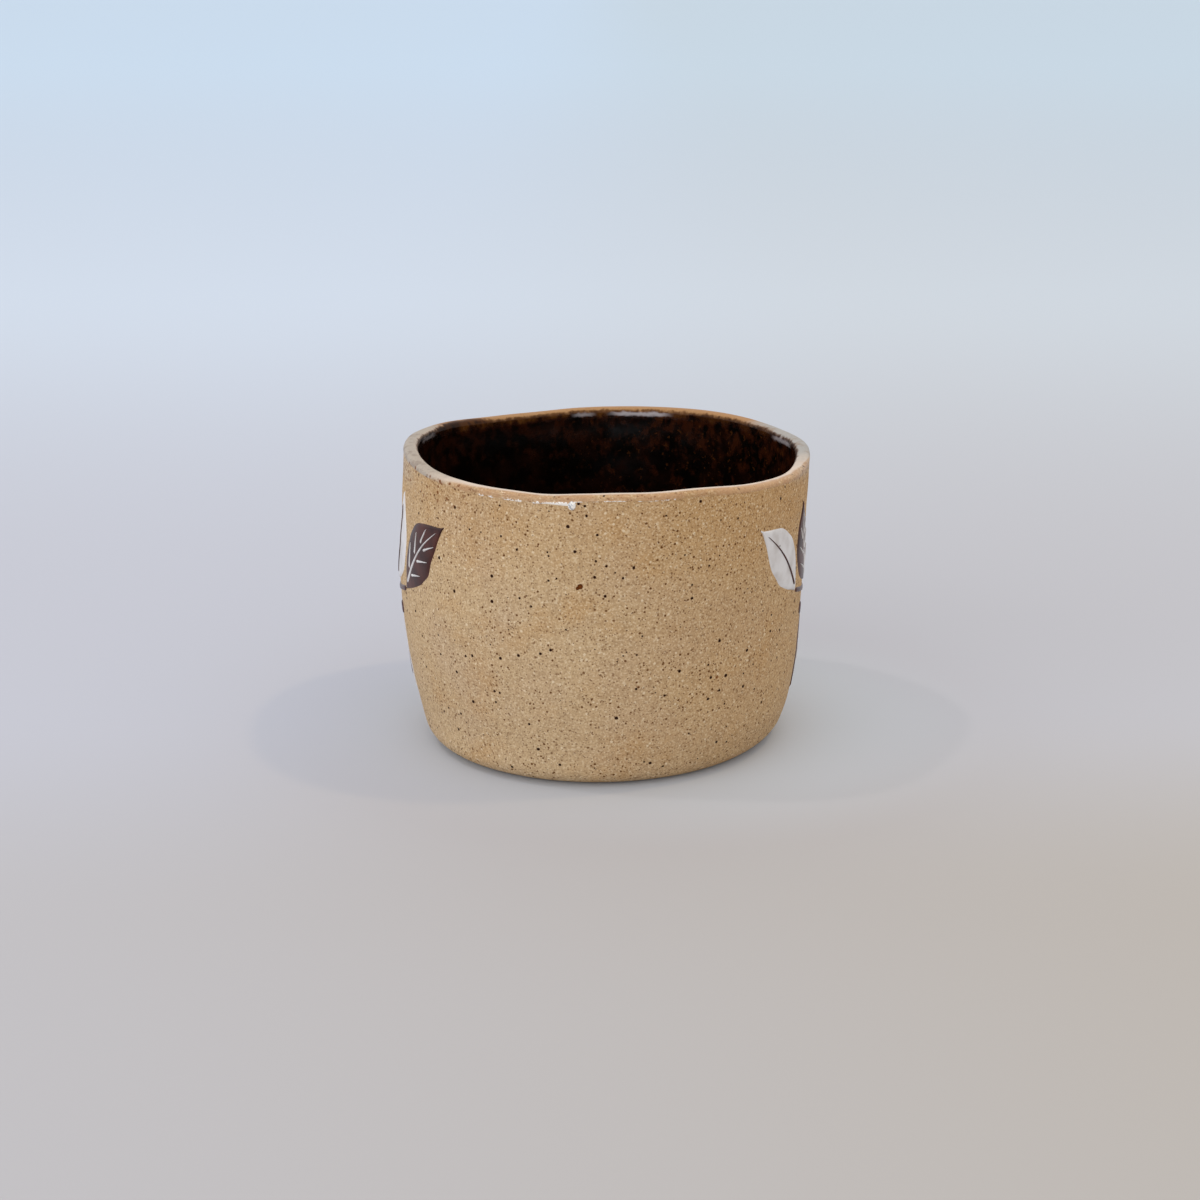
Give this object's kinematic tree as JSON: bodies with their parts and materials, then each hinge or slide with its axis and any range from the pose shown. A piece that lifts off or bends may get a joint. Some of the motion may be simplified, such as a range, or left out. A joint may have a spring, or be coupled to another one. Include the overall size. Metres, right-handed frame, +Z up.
{
  "type": "stoneware cup",
  "caption": "Hand-built stoneware cup with no handle: speckled bare clay outside, dark gloss glaze inside, clear-glazed uneven lip and a painted leaf sprig round each side.",
  "frame": {"origin": "centre of the flat underside of the foot, on the table", "axes": "+Z up along the cup's axis, -Y towards the bare front, +X to the right seen from the front"},
  "size_m": [0.0907, 0.092, 0.0658],
  "materials": {
    "stoneware": "bare, matte, speckled buff clay",
    "slip": "matte, wiped smooth",
    "liner_glaze": "high gloss, dark brown with rust mottling",
    "clear_glaze": "gloss, clear over the clay",
    "white_paint": "satin, brushed on",
    "brown_paint": "semi-gloss, brushed on"
  },
  "bodies": {
    "root": {"floor_slab": "stoneware", "foot_slip": "slip", "wall_slab": "stoneware", "seam_slip": "slip", "corner_coil": "stoneware", "liner_glaze": "liner_glaze", "rim_glaze": "clear_glaze", "stem_left": "brown_paint", "stem_right": "brown_paint", "white_leaf_ribs": "brown_paint", "brown_leaf_veins": "white_paint", "berries": "brown_paint", "white_leaf_1": "white_paint", "white_leaf_2": "white_paint", "white_leaf_3": "white_paint", "white_leaf_4": "white_paint", "white_leaf_5": "white_paint", "white_leaf_6": "white_paint", "white_leaf_7": "white_paint", "brown_leaf_1": "brown_paint", "brown_leaf_2": "brown_paint", "brown_leaf_3": "brown_paint", "brown_leaf_4": "brown_paint", "brown_leaf_5": "brown_paint", "brown_leaf_6": "brown_paint", "brown_leaf_7": "brown_paint"}
  },
  "joints": []
}
